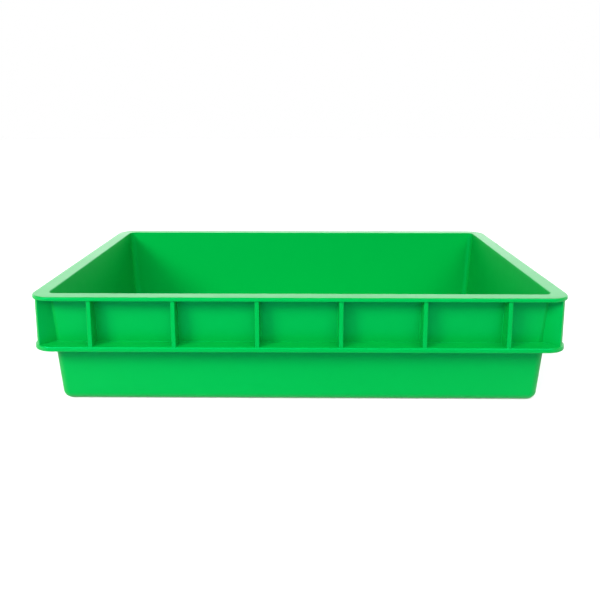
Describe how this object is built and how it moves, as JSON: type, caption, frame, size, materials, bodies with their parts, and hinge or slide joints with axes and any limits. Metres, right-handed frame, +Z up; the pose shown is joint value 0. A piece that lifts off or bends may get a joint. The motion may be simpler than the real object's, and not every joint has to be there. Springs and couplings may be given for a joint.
{
  "type": "shallow ribbed plastic tub",
  "caption": "Shallow open-topped plastic tub with sloping walls, a flat rim, a stacking flange and upright ribs between them; it nests on a like tub.",
  "frame": {"origin": "middle of the underside, on the surface the tub stands on", "axes": "+Z up out of the tub's mouth, +X along the long side, +Y from the front long side to the back one"},
  "size_m": [0.6, 0.4, 0.13],
  "materials": {
    "green_plastic": "satin, moulded, bright green"
  },
  "bodies": {
    "root": {"back_rib_1": "green_plastic", "back_rib_2": "green_plastic", "back_rib_3": "green_plastic", "back_rib_4": "green_plastic", "back_rib_5": "green_plastic", "back_rib_6": "green_plastic", "corner_rib_back_left": "green_plastic", "corner_rib_back_right": "green_plastic", "corner_rib_front_left": "green_plastic", "corner_rib_front_right": "green_plastic", "floor_pan": "green_plastic", "front_rib_1": "green_plastic", "front_rib_2": "green_plastic", "front_rib_3": "green_plastic", "front_rib_4": "green_plastic", "front_rib_5": "green_plastic", "front_rib_6": "green_plastic", "left_rib_1": "green_plastic", "left_rib_2": "green_plastic", "left_rib_3": "green_plastic", "left_rib_4": "green_plastic", "lower_flange": "green_plastic", "lower_wall": "green_plastic", "right_rib_1": "green_plastic", "right_rib_2": "green_plastic", "right_rib_3": "green_plastic", "right_rib_4": "green_plastic", "top_rim": "green_plastic", "upper_wall": "green_plastic"}
  },
  "joints": []
}
